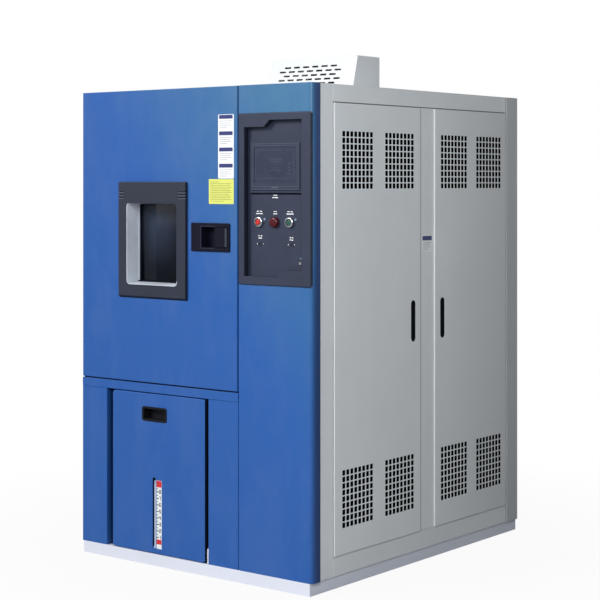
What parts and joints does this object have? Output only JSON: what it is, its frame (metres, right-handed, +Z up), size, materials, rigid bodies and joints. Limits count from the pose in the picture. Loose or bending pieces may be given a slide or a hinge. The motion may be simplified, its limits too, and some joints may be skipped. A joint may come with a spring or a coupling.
{
  "type": "environmental test chamber",
  "caption": "Floor-standing climatic test cabinet with a glazed insulated door, control column, water drawer, perforated side doors and a roof hood over the fan.",
  "frame": {"origin": "middle of the cabinet's base, on the floor", "axes": "+Z up, +X to the right and +Y to the back, seen from in front of the glazed door"},
  "size_m": [1.153, 1.412, 1.976],
  "materials": {
    "plinth_paint": "satin powder coat",
    "grey_paint": "fine textured powder coat",
    "blue_paint": "fine textured powder coat",
    "primer": "zinc plated",
    "device_plastic": "fine grain",
    "stainless": "brushed",
    "foam": "rigid foam",
    "rubber": "matt",
    "aluminium": "mill finish",
    "motor_paint": "satin black",
    "black_plastic": "fine grain",
    "slate_plastic": "fine grain",
    "screen_glass": "glossy",
    "white_plastic": "satin",
    "reveal_plastic": "satin",
    "window_glass": "clear",
    "clear_tube": "clear acrylic",
    "steel": "plated",
    "chrome": "polished",
    "red_plastic": "glossy",
    "green_plastic": "glossy",
    "lamp_lens": "glossy"
  },
  "bodies": {
    "cabinet": {"air_baffle": "stainless", "alarm_lamp": "lamp_lens", "base_plinth": "plinth_paint", "cabinet_hinges": "steel", "cable_port_sleeve": "white_plastic", "chamber_gasket": "rubber", "chamber_insulation": "foam", "compressor": "motor_paint", "condenser_coil": "aluminium", "condenser_shroud": "motor_paint", "control_bezel": "slate_plastic", "cross_rail": "blue_paint", "drawer_slides": "primer", "electrical_plate": "device_plastic", "evaporator_coil": "aluminium", "fan_motor": "motor_paint", "front_column": "blue_paint", "front_pillars": "blue_paint", "heater_coil": "stainless", "inner_frame": "primer", "inner_liner": "stainless", "instrument_plate": "slate_plastic", "latch_keeper": "steel", "left_side_panel": "grey_paint", "panel_fittings": "chrome", "rear_panel": "grey_paint", "right_side_frame": "grey_paint", "roof_hood": "grey_paint", "roof_panel": "grey_paint", "screen_frame": "slate_plastic", "screen_glass": "screen_glass", "shelf_rails": "stainless", "shelves": "stainless", "side_door_pins": "steel", "throat_frame": "stainless"},
    "main_door": {"door_skin": "blue_paint", "door_insulation": "foam", "door_inner_panel": "stainless", "window_bezel": "black_plastic", "window_reveal": "reveal_plastic", "window_glass": "window_glass", "latch_housing": "black_plastic", "door_hinges": "steel"},
    "latch_paddle": {"latch_paddle": "black_plastic"},
    "latch_tongue": {"latch_tongue": "steel"},
    "water_drawer": {"drawer_front": "blue_paint", "handle_cup": "black_plastic", "sight_tube": "clear_tube", "level_scale": "white_plastic", "water_tank": "stainless"},
    "side_door_front": {"side_door_front": "grey_paint", "pull_cup_front": "black_plastic"},
    "side_door_rear": {"side_door_rear": "grey_paint", "pull_cup_rear": "black_plastic"},
    "circulation_fan": {"fan_impeller": "aluminium"},
    "condenser_fan": {"condenser_fan": "black_plastic"},
    "stop_button": {"stop_button": "red_plastic"},
    "start_button": {"start_button": "green_plastic"},
    "key_barrel": {"key_barrel": "steel"},
    "cable_port_plug": {"cable_port_plug": "rubber"}
  },
  "joints": [
    {"name": "main_door_hinge", "type": "hinge", "parent": "cabinet", "child": "main_door", "pos_m": [-0.577, -0.65, 1.245], "axis": [0, 0, -1], "range_deg": [0, 110]},
    {"name": "latch_paddle_pivot", "type": "hinge", "parent": "main_door", "child": "latch_paddle", "pos_m": [0.17, -0.702, 1.2475], "axis": [0, 0, 1], "range_deg": [0, 30], "stiffness_Nm_per_rad": 0.3},
    {"name": "latch_tongue_slide", "type": "slide", "parent": "main_door", "child": "latch_tongue", "axis": [-1, 0, 0], "range_m": [0, 0.01]},
    {"name": "water_drawer_slide", "type": "slide", "parent": "cabinet", "child": "water_drawer", "axis": [0, -1, 0], "range_m": [0, 0.33]},
    {"name": "side_door_front_hinge", "type": "hinge", "parent": "cabinet", "child": "side_door_front", "pos_m": [0.564, -0.563, 0.925], "axis": [0, 0, -1], "range_deg": [0, 110]},
    {"name": "side_door_rear_hinge", "type": "hinge", "parent": "cabinet", "child": "side_door_rear", "pos_m": [0.564, 0.598, 0.925], "axis": [0, 0, 1], "range_deg": [0, 110]},
    {"name": "circulation_fan_spin", "type": "hinge", "parent": "cabinet", "child": "circulation_fan", "pos_m": [-0.156, 0.305, 1.62], "axis": [0, 0, 1], "continuous": true},
    {"name": "condenser_fan_spin", "type": "hinge", "parent": "cabinet", "child": "condenser_fan", "pos_m": [-0.17, 0.555, 0.345], "axis": [0, 1, 0], "continuous": true},
    {"name": "stop_button_travel", "type": "slide", "parent": "cabinet", "child": "stop_button", "axis": [0, 1, 0], "range_m": [0, 0.003], "stiffness_N_per_m": 300},
    {"name": "start_button_travel", "type": "slide", "parent": "cabinet", "child": "start_button", "axis": [0, 1, 0], "range_m": [0, 0.003], "stiffness_N_per_m": 300},
    {"name": "key_barrel_turn", "type": "hinge", "parent": "cabinet", "child": "key_barrel", "pos_m": [0.505, -0.677, 1.163], "axis": [0, 1, 0], "range_deg": [0, 90]},
    {"name": "cable_port_plug_pull", "type": "slide", "parent": "cabinet", "child": "cable_port_plug", "axis": [-1, 0, 0], "range_m": [0, 0.12]}
  ],
  "couplings": [
    {"joint": "latch_tongue_slide", "follows": "latch_paddle_pivot", "m_per_rad": 0.019}
  ]
}
